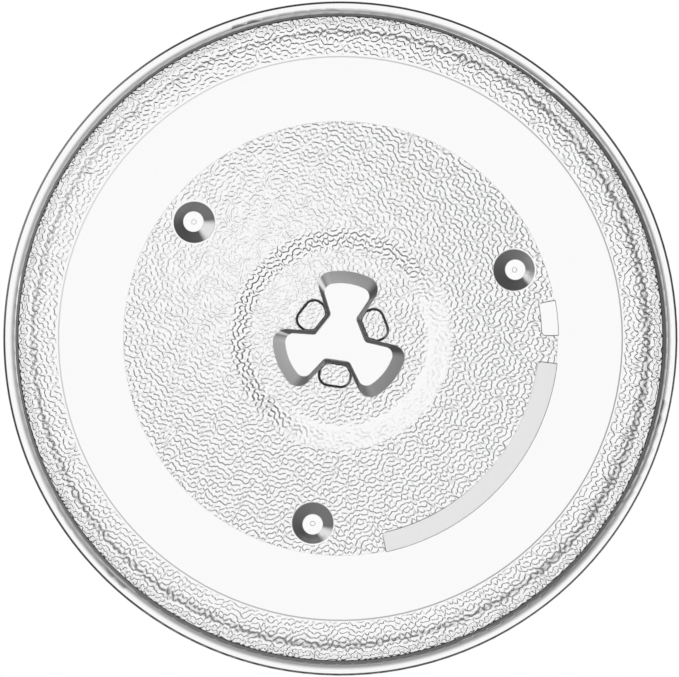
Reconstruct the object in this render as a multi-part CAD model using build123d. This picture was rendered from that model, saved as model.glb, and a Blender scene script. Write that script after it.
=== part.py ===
from build123d import *
import os
from math import cos, degrees, hypot, radians, sin, sqrt, tan

# Turntable plate of a microwave oven: one piece of pressed clear glass.
# Millimetres, +Z up, dish side up. The origin is on the plate's axis, in the plane of the foot tips.
# The drive socket, the roller track, the feet and two smooth fields are moulded into the underside.

# Lip, which hangs a little lower at its edge than at its root
RIM_DIAMETER = 270.0
LIP_WIDTH = 4.65
LIP_THICKNESS = 6.5
LIP_DROP = 0.7
LIP_ROOT_RADIUS = 1.1
LIP_UNDER_RADIUS = 2.6
LIP_TOP_RADIUS = 1.0
LIP_INNER_RADIUS = 5.6

# Dish and wall. The wall is steeper on the dish side, and its thickness is taken at the lip's root.
DISH_DEPTH = 10.6
DISH_WALL_ANGLE = 60.5
DISH_BEND_RADIUS = 10.5
FLOOR_THICKNESS = 4.0
WALL_THICKNESS = 3.35
WALL_ANGLE = 54.0
BEND_RADIUS = 4.3

# Roller track, a smooth ring sunk into the grained underside, with a sloped step at each edge
OUTER_BAND_WIDTH = 12.35
TRACK_WIDTH = 25.6
TRACK_RECESS = 0.25
TRACK_STEP_WIDTH = 0.55

# Feet, set in from the track's inner edge
FOOT_INSET = 12.2
FOOT_HEIGHT = 6.0
FOOT_BASE_DIAMETER = 16.8
FOOT_TIP_DIAMETER = 7.9
FOOT_TIP_RADIUS = 0.8
FOOT_ROOT_RADIUS = 1.0

# Hub, a low round boss
HUB_FACE_DIAMETER = 72.0
HUB_DROP = 4.0
HUB_SLOPE_WIDTH = 7.8
HUB_EDGE_RADIUS = 6.0

# Drive socket, three drafted lobes round the axis, with a blunt nose between each two
LOBES = 3
LOBE_SIDE_ANGLE = 25.5
LOBE_SIDE_OFFSET = 0.8
SOCKET_DEPTH = 4.5
SOCKET_FLOOR_RADIUS = 21.8
SOCKET_END_DRAFT = 5.2
SOCKET_SIDE_DRAFT = 1.5
SOCKET_CORNER_RADIUS = 3.6
SOCKET_ROOT_RADIUS = 0.8
SOCKET_EDGE_RADIUS = 0.5
NOSE_DISTANCE = 8.7
NOSE_DRAFT = 1.35
NOSE_CORNER_RADIUS = 2.0

# Drive lugs, one raised pad on each nose
LUG_HEIGHT = 1.4
LUG_WIDTH = 13.6
LUG_REACH = 19.6
LUG_CORNER_RADIUS = 4.4
LUG_DRAFT = 1.1
LUG_ROOT_RADIUS = 0.8
LUG_EDGE_RADIUS = 0.6

# Smooth fields beside the track, as angles round the axis from the first lobe
FIELD_RECESS = 0.6
FIELD_DRAFT = 0.35
FIELD_CORNER_RADIUS = 1.8
LONG_FIELD_WIDTH = 7.6
LONG_FIELD_ANGLES = (-32.0, 39.5)
SHORT_FIELD_WIDTH = 6.6
SHORT_FIELD_ANGLES = (-48.7, -39.2)

# Levels above the foot tips
under_z = FOOT_HEIGHT
track_z = under_z + TRACK_RECESS
dish_z = under_z + FLOOR_THICKNESS
rim_z = dish_z + DISH_DEPTH
lip_root_z = rim_z - LIP_THICKNESS
lip_edge_z = lip_root_z - LIP_DROP
hub_z = under_z - HUB_DROP
lug_z = hub_z - LUG_HEIGHT
socket_z = hub_z + SOCKET_DEPTH

# Radii, worked inwards from the rim
wall_angle = radians(WALL_ANGLE)
dish_wall_angle = radians(DISH_WALL_ANGLE)
rim_r = RIM_DIAMETER / 2
lip_root_r = rim_r - LIP_WIDTH
base_r = lip_root_r - (lip_root_z - under_z) / tan(wall_angle)
lip_inner_r = lip_root_r - WALL_THICKNESS / sin(dish_wall_angle) + LIP_THICKNESS / tan(dish_wall_angle)
dish_r = lip_inner_r - DISH_DEPTH / tan(dish_wall_angle)
track_outer_r = base_r - OUTER_BAND_WIDTH
track_inner_r = track_outer_r - TRACK_WIDTH
foot_ring_r = track_inner_r - FOOT_INSET

# Radii, worked outwards from the axis
hub_face_r = HUB_FACE_DIAMETER / 2
hub_root_r = hub_face_r + HUB_SLOPE_WIDTH
lug_start_r = NOSE_DISTANCE - LUG_DRAFT - LUG_ROOT_RADIUS

# Spacing of the lobes, and of the noses, lugs and feet halfway between them
lobe_pitch = 360 / LOBES
nose_angle = lobe_pitch / 2
LEVEL_TOLERANCE = 1e-4


def turned(corners):
    """A solid of revolution from (radius, height, corner radius) rows."""
    points = [(r, z) for r, z, _ in corners]
    outline = FilletPolyline(*points, radius=[corner for _, _, corner in corners], close=True)
    return revolve(Plane.XZ * make_face(outline), Axis.Z)


def on_noses(shape):
    """Copies of a shape that lies along +X, turned to each nose."""
    return [Rot(Z=nose_angle + k * lobe_pitch) * shape for k in range(LOBES)]


def axis_distance(shape):
    """How far a vertex, or the middle of an edge's box, lies from the plate's axis."""
    place = shape.bounding_box().center()
    return hypot(place.X, place.Y)


def level_edges(shape, z, inner_r, outer_r):
    """The edges that lie flat at a height, between two distances from the axis."""

    def is_there(edge):
        box = edge.bounding_box()
        is_flat = abs(box.min.Z - z) < LEVEL_TOLERANCE and abs(box.max.Z - z) < LEVEL_TOLERANCE
        return is_flat and inner_r < axis_distance(edge) < outer_r

    return shape.edges().filter_by(is_there)


def plate_body():
    """Hub, underside, wall, lip and dish as one turned section."""
    half_step = TRACK_STEP_WIDTH / 2
    return turned([
        (0, hub_z, 0),
        (hub_face_r, hub_z, HUB_EDGE_RADIUS),
        (hub_root_r, under_z, HUB_EDGE_RADIUS),
        (track_inner_r - half_step, under_z, 0),
        (track_inner_r + half_step, track_z, 0),
        (track_outer_r - half_step, track_z, 0),
        (track_outer_r + half_step, under_z, 0),
        (base_r, under_z, BEND_RADIUS),
        (lip_root_r, lip_root_z, LIP_ROOT_RADIUS),
        (rim_r, lip_edge_z, LIP_UNDER_RADIUS),
        (rim_r, rim_z, LIP_TOP_RADIUS),
        (lip_inner_r, rim_z, LIP_INNER_RADIUS),
        (dish_r, dish_z, DISH_BEND_RADIUS),
        (0, dish_z, 0),
    ])


def foot():
    """One tapered foot on +X, with its root sunk into the plate."""
    sunk_z = under_z + FLOOR_THICKNESS / 2
    cone = turned([
        (0, 0, 0),
        (FOOT_TIP_DIAMETER / 2, 0, FOOT_TIP_RADIUS),
        (FOOT_BASE_DIAMETER / 2, under_z, 0),
        (FOOT_BASE_DIAMETER / 2, sunk_z, 0),
        (0, sunk_z, 0),
    ])
    return Pos(X=foot_ring_r) * cone


def with_feet(plate):
    """The plate standing on its feet, each blended into the underside."""
    footed = plate + on_noses(foot())
    near = foot_ring_r - FOOT_BASE_DIAMETER / 2
    far = foot_ring_r + FOOT_BASE_DIAMETER / 2
    return fillet(level_edges(footed, under_z, near, far), FOOT_ROOT_RADIUS)


def lug():
    """One raised pad on +X, smaller at its face than at its root."""

    def section(z, inset):
        length = LUG_REACH - lug_start_r - 2 * inset
        outline = RectangleRounded(length, LUG_WIDTH - 2 * inset, LUG_CORNER_RADIUS - inset)
        return Pos((LUG_REACH + lug_start_r) / 2, 0, z) * outline

    return loft([section(hub_z, 0), section(lug_z, LUG_DRAFT)])


def with_lugs(plate):
    """The plate with its drive lugs, blended at their roots and rounded at their faces."""
    lugged = plate + on_noses(lug())
    lugged = fillet(level_edges(lugged, hub_z, 0, LUG_REACH + LUG_DRAFT), LUG_ROOT_RADIUS)
    return fillet(level_edges(lugged, lug_z, 0, LUG_REACH), LUG_EDGE_RADIUS)


def socket_section(z):
    """The socket's outline at a height. Each side moves out by its own draft from the floor down."""
    share = (socket_z - z) / SOCKET_DEPTH
    end_r = SOCKET_FLOOR_RADIUS + share * SOCKET_END_DRAFT
    side_offset = LOBE_SIDE_OFFSET + share * SOCKET_SIDE_DRAFT
    nose_distance = NOSE_DISTANCE + share * NOSE_DRAFT
    side_angle = radians(LOBE_SIDE_ANGLE)
    to_nose = radians(nose_angle) - side_angle

    # A point on a lobe's side, measured along it from the foot of the perpendicular from the axis.
    def on_side(along, hand, lobe):
        x = along * cos(side_angle) - side_offset * sin(side_angle)
        y = along * sin(side_angle) + side_offset * cos(side_angle)
        return Vector(x, hand * y).rotate(Axis.Z, lobe * lobe_pitch)

    end_along = sqrt(end_r**2 - side_offset**2)
    nose_along = (nose_distance - side_offset * sin(to_nose)) / cos(to_nose)
    edges = []
    for lobe in range(LOBES):
        right_end = on_side(end_along, -1, lobe)
        left_end = on_side(end_along, 1, lobe)
        left_nose = on_side(nose_along, 1, lobe)
        edges.append(Line(on_side(nose_along, -1, lobe), right_end))
        edges.append(RadiusArc(right_end, left_end, -end_r))
        edges.append(Line(left_end, left_nose))
        edges.append(Line(left_nose, on_side(nose_along, -1, lobe + 1)))
    outline = make_face(edges)
    middle_r = (nose_along + end_along) / 2
    ends = [v for v in outline.vertices() if axis_distance(v) > middle_r]
    outline = fillet(ends, SOCKET_CORNER_RADIUS + share * SOCKET_SIDE_DRAFT)
    noses = sorted(outline.vertices(), key=axis_distance)[: 2 * LOBES]
    return Pos(Z=z) * fillet(noses, NOSE_CORNER_RADIUS)


def with_socket(plate):
    """The plate with its drive socket cut, blended at the socket's floor and rounded at its mouth."""
    cut = loft([socket_section(socket_z), socket_section(lug_z - LUG_HEIGHT)], ruled=True)
    socketed = plate - cut
    socketed = fillet(new_edges(plate, cut, combined=socketed), SOCKET_EDGE_RADIUS)
    return fillet(level_edges(socketed, socket_z, 0, hub_face_r), SOCKET_ROOT_RADIUS)


def field(width, angles):
    """One smooth field, a shallow drafted sector that runs onto the track and lies a little deeper."""
    start, end = angles

    def section(z, inset):
        turn = degrees(inset / track_inner_r)
        sweep = end - start - 2 * turn
        inner_arc = CenterArc((0, 0), track_inner_r - width + inset, start + turn, sweep)
        open_arc = CenterArc((0, 0), track_inner_r + TRACK_STEP_WIDTH - inset, start + turn, sweep)
        sides = [Line(inner_arc @ share, open_arc @ share) for share in (0, 1)]
        outline = make_face([inner_arc, open_arc, *sides])
        inner_corners = [v for v in outline.vertices() if axis_distance(v) < track_inner_r]
        return Pos(Z=z) * fillet(inner_corners, FIELD_CORNER_RADIUS - inset)

    return loft([section(under_z, 0), section(under_z + FIELD_RECESS, FIELD_DRAFT)], ruled=True)


def turntable_plate():
    """The whole plate as one solid."""
    plate = with_socket(with_lugs(with_feet(plate_body())))
    plate -= field(LONG_FIELD_WIDTH, LONG_FIELD_ANGLES)
    plate -= field(SHORT_FIELD_WIDTH, SHORT_FIELD_ANGLES)
    return plate


os.makedirs("parts", exist_ok=True)
export_step(turntable_plate(), "parts/turntable_plate.step")
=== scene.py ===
"""Looks of a microwave turntable plate: clear pressed glass, seen from below against a lit white card."""

from math import atan, cos, pi, radians, sin, sqrt, tan

import bmesh
import bpy
from mathutils import Matrix, Vector

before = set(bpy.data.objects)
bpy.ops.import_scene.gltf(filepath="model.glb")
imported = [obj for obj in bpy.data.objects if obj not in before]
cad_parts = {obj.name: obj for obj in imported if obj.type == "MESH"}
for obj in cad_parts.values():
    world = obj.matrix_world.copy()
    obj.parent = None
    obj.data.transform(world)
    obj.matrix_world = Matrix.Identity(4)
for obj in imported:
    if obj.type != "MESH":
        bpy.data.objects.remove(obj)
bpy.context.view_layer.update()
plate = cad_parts["turntable_plate"]

MM = 0.001

# Zones of the underside, as radii and heights in the plate's own frame
FOOT_RING_R = 74.315 * MM
FOOT_CLEAR_R = 8.5 * MM
FOOT_FADE = 0.6 * MM
FOOT_ANGLES = (60, 180, 300)
SOCKET_REACH_R = 30 * MM
LUG_FACE_Z = 0.6 * MM
HUB_FACE_Z = 2.0 * MM
UNDER_Z = 6.0 * MM
LEVEL_TOLERANCE = 0.07 * MM
TRACK_MIDDLE_R = 99 * MM
OUTER_GRAIN_R = 112.6 * MM
BASE_R = 124.465 * MM
WALL_ANGLE = 54
WALL_DEPTH = 2 * MM
LIP_GRAIN_R = 128.7 * MM
OUTER_GRAIN_SHARE = 0.8
BEND_R = 122.8 * MM
BEND_REACH = (1.0 * MM, 2.6 * MM)
BEND_GRAIN_SHARE = 0.45

# Grain pressed into the underside: winding ridges from waves of about one length in many directions
GRAIN_PITCH = 1.98 * MM
GRAIN_PITCH_SPREAD = 0.12
GRAIN_PITCH_MIX = (2.4, 0.7)
GRAIN_WAVES = 13
GRAIN_TURN_SPREAD = 0.5
GRAIN_TURN_MIX = (5.1, 1)
GRAIN_PHASE = 2.4
GRAIN_HEIGHT = 0.5 * MM
GRAIN_FLANK = 0.88 * MM
GRAIN_LEAST_SLOPE = 0.3
GRAIN_FADE = 1.0 * MM

# The ridges lean: flanks that rise away from this point are steeper, and farther off ridges are larger
LEAN_POINT_R = 53 * MM
LEAN_POINT_ANGLE = 186.7
LEAN_FULL_R = 140 * MM
GRAIN_LEAN = 0.74
NEAR_GRAIN_SHARE = 0.65

# Sloped edge of the hub, where the grain is fainter on the side away from the lean point
HUB_EDGE_START_R = (32.5 * MM, 36 * MM)
HUB_EDGE_END_R = (45.5 * MM, 42 * MM)
HUB_EDGE_SIDE = (0.1, -0.6)
HUB_EDGE_GRAIN_SHARE = 0.5

# Noise that bends the waves, and the middle of its range
WARP_SIZE = 5 * MM
WARP_REACH = 0.6 * MM
NOISE_MIDDLE = (0.5, 0.5, 0.5)

# Round mark on each foot's tip
TIP_MARK_R = 0.9 * MM
TIP_MARK_WIDTH = 0.35 * MM
TIP_MARK_HEIGHT = 0.2 * MM
TIP_MARK_TOP_Z = 0.3 * MM

# Long smooth field beside the track, which is matt. The short one, which is clear, lies farther towards -Y.
FIELD_Z = 6.6 * MM
LONG_FIELD_LEAST_Y = -48 * MM
FIELD_ROUGHNESS = 0.57

# Outermost edge of the lip, which falls away a little more steeply and has painted shade underneath: the
# glass colour is darkened there to draw a dark outline
EDGE_R = 134.05 * MM
EDGE_WIDTH = 0.8 * MM
EDGE_FALL = 0.6
EDGE_PAINTED_SHADE_R = (133.85 * MM, 134.05 * MM)
EDGE_PAINTED_SHADE_Z = (15.5 * MM, 15.1 * MM)
EDGE_PAINTED_SHADE = 0.02

# Corner under the lip's root, with painted shade too: the glass colour is darkened there as a shade line
CORNER_START_R = (128.2 * MM, 128.5 * MM)
CORNER_END_R = (129.1 * MM, 128.8 * MM)
CORNER_TOP_Z = (14.0 * MM, 13.5 * MM)
CORNER_PAINTED_SHADE = 0.12

# Sides of the lugs, with painted shade as well: the glass colour is darkened there
LUG_SIDE_Z = (0.7 * MM, 1.9 * MM)
LUG_SIDE_PAINTED_SHADE = 0.04

# Glass everywhere else
GLASS_TINT = 0.98
GLASS_IOR = 1.5

# Camera, square to the plate from below
CAMERA_DISTANCE = 1.5
CAMERA_TURN = 321.5
SENSOR_WIDTH = 36
RIM_EDGE_Z = 16.3 * MM
HALF_VIEW = 135.93 * MM
SHIFT_RIGHT = 0.9 / 679

# Lit card above the plate: a fully lit disc off centre, in a round fall to dark
CARD_HEIGHT = 1.1
CARD_RADIUS = 1.3
CARD_SIDES = 96
CARD_LEVEL = 1.045
CARD_OFFSET = 0.08
CARD_OFFSET_ANGLE = 186.7
CARD_FULL_R = 0.265
CARD_DARK_R = 0.61
CARD_DARK_LEVEL = 0.125
CARD_DARK_SWING = 0.055
CARD_DARKEST_ANGLE = 271.5

# Bright patch on the card, farther out on the same side
PATCH_LEVEL = 0.85
PATCH_ANGLE = 171.5
PATCH_HALF_ANGLES = (8, 33)
PATCH_RADII = (0.54, 0.63)

# Pale floor
FLOOR_SIZE = 6.0
FLOOR_COLOUR = (0.80, 0.80, 0.80, 1)

# Plain light on the floor, light round the horizon and above it, and the dark room under the floor
PLAIN_LEVEL = 0.9
HORIZON_HEIGHTS = (0.15, 0.02)
HORIZON_LEVEL = 0.9
ABOVE_LEVEL = 0.05
DARK_LEVEL = 0.08


class Graph:
    """A node tree that is built one node at a time. A number, colour or socket can go into any input."""

    def __init__(self, tree):
        self.tree = tree
        tree.nodes.clear()

    def add(self, kind, values=None, **settings):
        node = self.tree.nodes.new(kind)
        for name, value in settings.items():
            setattr(node, name, value)
        for name, value in (values or {}).items():
            self.put(node.inputs[name], value)
        return node

    def put(self, socket, value):
        if isinstance(value, bpy.types.NodeSocket):
            self.tree.links.new(value, socket)
        else:
            socket.default_value = value

    def math(self, operation, a, b=0.0):
        return self.add("ShaderNodeMath", {0: a, 1: b}, operation=operation).outputs[0]

    def product(self, first, *others):
        for other in others:
            first = self.math("MULTIPLY", first, other)
        return first

    def vector(self, operation, values, output="Vector"):
        return self.add("ShaderNodeVectorMath", values, operation=operation).outputs[output]

    def distance(self, point, centre=(0, 0, 0)):
        return self.vector("DISTANCE", {0: point, 1: centre}, "Value")

    def step(self, value, start, end):
        """0 before start, 1 after end, and smooth between them."""
        values = {"Value": value, "From Min": start, "From Max": end}
        return self.add("ShaderNodeMapRange", values, interpolation_type="SMOOTHSTEP").outputs[0]

    def blend(self, share, start, end):
        """The start at a share of 0 and the end at a share of 1."""
        return self.add("ShaderNodeMapRange", {"Value": share, "To Min": start, "To Max": end}).outputs[0]


def around(radius, degrees, height=0.0):
    """A point at an angle round the plate's axis."""
    return (radius * cos(radians(degrees)), radius * sin(radians(degrees)), height)


def place_on(graph):
    """A point's place over the floor plane, its height, and its distance from the plate's axis."""
    point = graph.add("ShaderNodeTexCoord").outputs["Object"]
    x, y, z = graph.add("ShaderNodeSeparateXYZ", {0: point}).outputs
    flat = graph.add("ShaderNodeCombineXYZ", {0: x, 1: y}).outputs[0]
    return flat, z, graph.distance(flat)


def foot_distance(graph, flat):
    """Distance from the axis of the nearest foot."""
    nearest = 1.0
    for angle in FOOT_ANGLES:
        nearest = graph.math("MINIMUM", graph.distance(flat, around(FOOT_RING_R, angle)), nearest)
    return nearest


def tip_marks(graph, z, foot):
    """Height of the round mark on a foot's tip."""
    off = graph.math("ABSOLUTE", graph.math("SUBTRACT", foot, TIP_MARK_R))
    on_tip = graph.math("LESS_THAN", z, TIP_MARK_TOP_Z)
    return graph.product(graph.step(off, TIP_MARK_WIDTH, 0.0), on_tip, TIP_MARK_HEIGHT)


def hub_edge_share(graph, flat, r):
    """Share of the grain's height that is left on the hub's sloped edge."""
    way = graph.vector("NORMALIZE", {0: flat})
    to_lean = graph.vector("DOT_PRODUCT", {0: way, 1: around(1, LEAN_POINT_ANGLE)}, "Value")
    edge = graph.product(graph.step(r, *HUB_EDGE_START_R), graph.step(r, *HUB_EDGE_END_R))
    return graph.blend(graph.product(edge, graph.step(to_lean, *HUB_EDGE_SIDE)), 1.0, HUB_EDGE_GRAIN_SHARE)


def grain_zones(graph, flat, z, r, foot):
    """1 where the underside is grained, 0 where it is smooth."""
    level = graph.math("LESS_THAN", z, UNDER_Z + LEVEL_TOLERANCE)
    inside = graph.math("LESS_THAN", r, TRACK_MIDDLE_R)
    past_socket = graph.step(r, SOCKET_REACH_R, SOCKET_REACH_R + GRAIN_FADE)
    for face in (LUG_FACE_Z, HUB_FACE_Z):
        off = graph.math("ABSOLUTE", graph.math("SUBTRACT", z, face))
        past_socket = graph.math("MAXIMUM", past_socket, graph.step(off, LEVEL_TOLERANCE, 0.0))
    past_foot = graph.step(foot, FOOT_CLEAR_R, FOOT_CLEAR_R + FOOT_FADE)
    inner = graph.product(level, inside, past_socket, past_foot, hub_edge_share(graph, flat, r))

    out = graph.math("MAXIMUM", graph.math("SUBTRACT", r, BASE_R), 0.0)
    rise = graph.product(out, tan(radians(WALL_ANGLE)))
    outside = graph.math("LESS_THAN", graph.math("SUBTRACT", z, rise), UNDER_Z + WALL_DEPTH)
    starts = graph.step(r, OUTER_GRAIN_R, OUTER_GRAIN_R + GRAIN_FADE)
    ends = graph.step(r, LIP_GRAIN_R, LIP_GRAIN_R - GRAIN_FADE)
    from_bend = graph.math("ABSOLUTE", graph.math("SUBTRACT", r, BEND_R))
    share = graph.blend(graph.step(from_bend, *BEND_REACH), BEND_GRAIN_SHARE, OUTER_GRAIN_SHARE)
    outer = graph.product(outside, starts, ends, share)
    return graph.math("MAXIMUM", inner, outer)


def wave_sum(graph, flat):
    """Sum of many plane waves, bent by a noise, and its slope."""
    noise_values = {"Vector": flat, "Scale": 1 / WARP_SIZE, "Detail": 0.0}
    noise = graph.add("ShaderNodeTexNoise", noise_values).outputs["Color"]
    bend = graph.vector("SUBTRACT", {0: noise, 1: NOISE_MIDDLE})
    bend = graph.vector("SCALE", {0: bend, "Scale": 2 * WARP_REACH})
    bent = graph.vector("ADD", {0: flat, 1: bend})
    total = 0.0
    slope = (0, 0, 0)
    turn_rate, turn_start = GRAIN_TURN_MIX
    pitch_rate, pitch_drift = GRAIN_PITCH_MIX
    for k in range(GRAIN_WAVES):
        turn = k + GRAIN_TURN_SPREAD * sin(turn_rate * k * k + turn_start)
        pitch = GRAIN_PITCH * (1 + GRAIN_PITCH_SPREAD * sin(pitch_rate * k * k + pitch_drift * k))
        wave = around(2 * pi / pitch, 180 * turn / GRAIN_WAVES)
        along = graph.vector("DOT_PRODUCT", {0: bent, 1: wave}, "Value")
        phase = graph.math("ADD", along, GRAIN_PHASE * k * k)
        total = graph.math("ADD", graph.math("SINE", phase), total)
        rise = graph.vector("SCALE", {0: wave, "Scale": graph.math("COSINE", phase)})
        slope = graph.vector("ADD", {0: rise, 1: slope})
    return total, slope


def ridges(graph, flat):
    """Height of the grain: ridges with straight flanks along the line where the waves sum to zero."""
    total, slope = wave_sum(graph, flat)
    usual_slope = 2 * pi / GRAIN_PITCH * sqrt(GRAIN_WAVES / 2)
    steepness = graph.math("MAXIMUM", graph.distance(slope), GRAIN_LEAST_SLOPE * usual_slope)
    apart = graph.math("DIVIDE", total, steepness)

    away = graph.vector("SUBTRACT", {0: flat, 1: around(LEAN_POINT_R, LEAN_POINT_ANGLE)})
    ways = {0: graph.vector("NORMALIZE", {0: slope}), 1: graph.vector("NORMALIZE", {0: away})}
    facing = graph.vector("DOT_PRODUCT", ways, "Value")
    share = graph.math("MINIMUM", graph.math("DIVIDE", graph.distance(away), LEAN_FULL_R), 1.0)
    width = graph.math("SUBTRACT", 1.0, graph.product(facing, share, GRAIN_LEAN))
    size = graph.blend(share, NEAR_GRAIN_SHARE, 1.0)

    level = graph.math("DIVIDE", apart, graph.product(width, size, GRAIN_FLANK / 2))
    level = graph.math("MAXIMUM", graph.math("MINIMUM", level, 1.0), -1.0)
    return graph.product(level, size, GRAIN_HEIGHT / 2)


def matt_field(graph, flat, z, r):
    """1 on the long smooth field."""
    y = graph.add("ShaderNodeSeparateXYZ", {0: flat}).outputs[1]
    off = graph.math("ABSOLUTE", graph.math("SUBTRACT", z, FIELD_Z))
    level = graph.math("LESS_THAN", off, LEVEL_TOLERANCE)
    inside = graph.math("LESS_THAN", r, TRACK_MIDDLE_R)
    return graph.product(level, inside, graph.math("GREATER_THAN", y, LONG_FIELD_LEAST_Y))


def glass_tint_and_painted_shade(graph, z, r):
    """Tint of the glass, darkened as painted shade at the lip's edge, in the corner under its root and on
    the lugs' sides.
    """
    edge = graph.product(graph.step(r, *EDGE_PAINTED_SHADE_R), graph.step(z, *EDGE_PAINTED_SHADE_Z))
    tint_and_painted_shade = graph.blend(edge, GLASS_TINT, EDGE_PAINTED_SHADE)
    corner = graph.product(graph.step(r, *CORNER_START_R), graph.step(r, *CORNER_END_R))
    corner = graph.product(corner, graph.step(z, *CORNER_TOP_Z))
    tint_and_painted_shade = graph.blend(corner, tint_and_painted_shade, CORNER_PAINTED_SHADE)
    low, high = LUG_SIDE_Z
    side = graph.product(graph.math("GREATER_THAN", z, low), graph.math("LESS_THAN", z, high))
    side = graph.product(side, graph.math("LESS_THAN", r, SOCKET_REACH_R))
    return graph.blend(side, tint_and_painted_shade, LUG_SIDE_PAINTED_SHADE)


def relief(graph, flat, z, r):
    """Height of what is finer than the solid: the grain, the tips' marks and the fall of the lip's edge."""
    foot = foot_distance(graph, flat)
    grain = graph.product(ridges(graph, flat), grain_zones(graph, flat, z, r, foot))
    grain = graph.math("ADD", grain, tip_marks(graph, z, foot))
    past_edge = graph.math("MAXIMUM", graph.math("SUBTRACT", r, EDGE_R), 0.0)
    fall = graph.product(graph.math("MINIMUM", past_edge, EDGE_WIDTH), EDGE_FALL)
    return graph.math("SUBTRACT", grain, fall)


def glass_material():
    material = bpy.data.materials.new("clear_glass")
    material.use_nodes = True
    graph = Graph(material.node_tree)
    flat, z, r = place_on(graph)
    bump_values = {"Height": relief(graph, flat, z, r), "Distance": 1.0, "Strength": 1.0}
    bump = graph.add("ShaderNodeBump", bump_values)
    glass = graph.add("ShaderNodeBsdfPrincipled", {
        # Base colour: the glass's own slight tint, with painted shade at the lip's edge, in the corner
        # under its root and on the lugs' sides
        "Base Color": glass_tint_and_painted_shade(graph, z, r),
        "Roughness": graph.product(matt_field(graph, flat, z, r), FIELD_ROUGHNESS),
        "IOR": GLASS_IOR,
        "Transmission Weight": 1.0,
        "Normal": bump.outputs[0],
    })
    graph.add("ShaderNodeOutputMaterial", {"Surface": glass.outputs[0]})
    return material


def dress_plate():
    material = glass_material()
    for slot in plate.material_slots:
        slot.material = material


def stage_piece(name, shape):
    """A piece of the stage from a finished shape, with an empty material graph to fill."""
    mesh = bpy.data.meshes.new(name)
    shape.to_mesh(mesh)
    shape.free()
    piece = bpy.data.objects.new(name, mesh)
    bpy.context.scene.collection.objects.link(piece)
    material = bpy.data.materials.new(name)
    material.use_nodes = True
    mesh.materials.append(material)
    return piece, Graph(material.node_tree)


def came_through_floor(graph):
    """1 for a ray that came up through the floor, which is clear from below."""
    path = graph.add("ShaderNodeLightPath").outputs
    return graph.math("GREATER_THAN", path["Transparent Depth"], 0.5)


def fell_on_floor(graph):
    """1 for light that falls on the floor, through the glass or beside it."""
    path = graph.add("ShaderNodeLightPath").outputs
    return graph.math("GREATER_THAN", path["Diffuse Depth"], 0.5)


def make_floor():
    """Pale floor under the feet, which shows only from above."""
    shape = bmesh.new()
    bmesh.ops.create_grid(shape, x_segments=1, y_segments=1, size=FLOOR_SIZE / 2)
    floor, graph = stage_piece("floor", shape)
    floor.visible_glossy = False
    back = graph.add("ShaderNodeNewGeometry").outputs["Backfacing"]
    unseen = graph.math("MAXIMUM", back, came_through_floor(graph))
    pale = graph.add("ShaderNodeBsdfDiffuse", {"Color": FLOOR_COLOUR}).outputs[0]
    clear = graph.add("ShaderNodeBsdfTransparent").outputs[0]
    mixed = graph.add("ShaderNodeMixShader", {0: unseen, 1: pale, 2: clear}).outputs[0]
    graph.add("ShaderNodeOutputMaterial", {"Surface": mixed})


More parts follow.
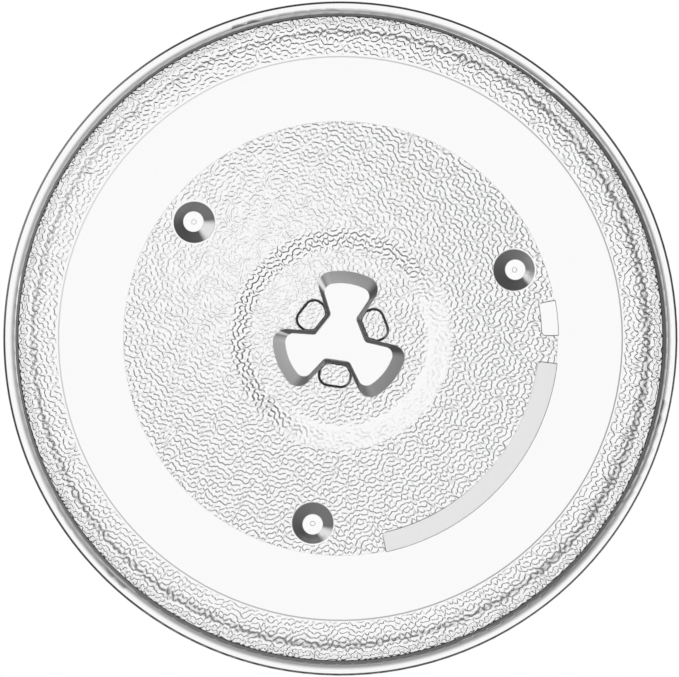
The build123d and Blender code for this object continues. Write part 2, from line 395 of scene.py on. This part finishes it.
def make_card():
    """Lit white card above the plate, which darkens outwards and has one bright patch."""
    shape = bmesh.new()
    bmesh.ops.create_circle(shape, cap_ends=True, segments=CARD_SIDES, radius=CARD_RADIUS)
    card, graph = stage_piece("card", shape)
    card.location = (0, 0, CARD_HEIGHT)
    card.visible_camera = False
    # Light is found by following paths only, because fell_on_floor reads the path
    card.active_material.cycles.emission_sampling = "NONE"
    point = graph.add("ShaderNodeTexCoord").outputs["Object"]
    way = graph.vector("NORMALIZE", {0: point})
    to_dark = graph.vector("DOT_PRODUCT", {0: way, 1: around(1, CARD_DARKEST_ANGLE)}, "Value")
    dark_level = graph.math("SUBTRACT", CARD_DARK_LEVEL, graph.product(to_dark, CARD_DARK_SWING))
    from_full = graph.distance(point, around(CARD_OFFSET, CARD_OFFSET_ANGLE))
    past_full = graph.math("MAXIMUM", graph.math("SUBTRACT", from_full, CARD_FULL_R), 0.0)
    to_end = graph.math("MAXIMUM", graph.math("SUBTRACT", CARD_DARK_R, graph.distance(point)), MM)
    dark = graph.step(graph.math("DIVIDE", past_full, graph.math("ADD", past_full, to_end)), 0.0, 1.0)

    to_patch = graph.vector("DOT_PRODUCT", {0: way, 1: around(1, PATCH_ANGLE)}, "Value")
    full, end = (cos(radians(angle)) for angle in PATCH_HALF_ANGLES)
    patch = graph.product(graph.step(to_patch, end, full), graph.step(graph.distance(point), *PATCH_RADII))
    level = graph.blend(dark, CARD_LEVEL, graph.blend(patch, dark_level, PATCH_LEVEL))
    level = graph.blend(fell_on_floor(graph), level, PLAIN_LEVEL)
    light = graph.add("ShaderNodeEmission", {"Strength": level}).outputs[0]
    graph.add("ShaderNodeOutputMaterial", {"Surface": light})


def make_world():
    world = bpy.data.worlds.new("studio")
    bpy.context.scene.world = world
    world.use_nodes = True
    world.cycles.sampling_method = "NONE"
    graph = Graph(world.node_tree)
    way = graph.add("ShaderNodeTexCoord").outputs["Generated"]
    up = graph.add("ShaderNodeSeparateXYZ", {0: way}).outputs[2]
    dome = graph.blend(graph.step(up, *HORIZON_HEIGHTS), ABOVE_LEVEL, HORIZON_LEVEL)
    dome = graph.blend(came_through_floor(graph), dome, DARK_LEVEL)
    seen = graph.add("ShaderNodeLightPath").outputs["Is Camera Ray"]
    plain = graph.math("MAXIMUM", seen, graph.product(fell_on_floor(graph), PLAIN_LEVEL))
    level = graph.math("MAXIMUM", plain, dome)
    light = graph.add("ShaderNodeBackground", {"Color": (1, 1, 1, 1), "Strength": level}).outputs[0]
    graph.add("ShaderNodeOutputWorld", {"Surface": light})


def make_camera():
    data = bpy.data.cameras.new("camera")
    camera = bpy.data.objects.new("camera", data)
    bpy.context.scene.collection.objects.link(camera)
    turn = radians(CAMERA_TURN)
    right = Vector((cos(turn), sin(turn), 0))
    up = Vector((sin(turn), -cos(turn), 0))
    back = Vector((0, 0, -1))
    axes = Matrix((right, up, back)).transposed().to_4x4()
    camera.matrix_world = Matrix.Translation((0, 0, -CAMERA_DISTANCE)) @ axes
    half_angle = atan(HALF_VIEW / (CAMERA_DISTANCE + RIM_EDGE_Z))
    data.sensor_width = SENSOR_WIDTH
    data.lens = SENSOR_WIDTH / 2 / tan(half_angle)
    data.shift_x = -SHIFT_RIGHT
    bpy.context.scene.camera = camera


dress_plate()
make_floor()
make_card()
make_world()
make_camera()
bpy.context.scene.view_settings.view_transform = "Standard"
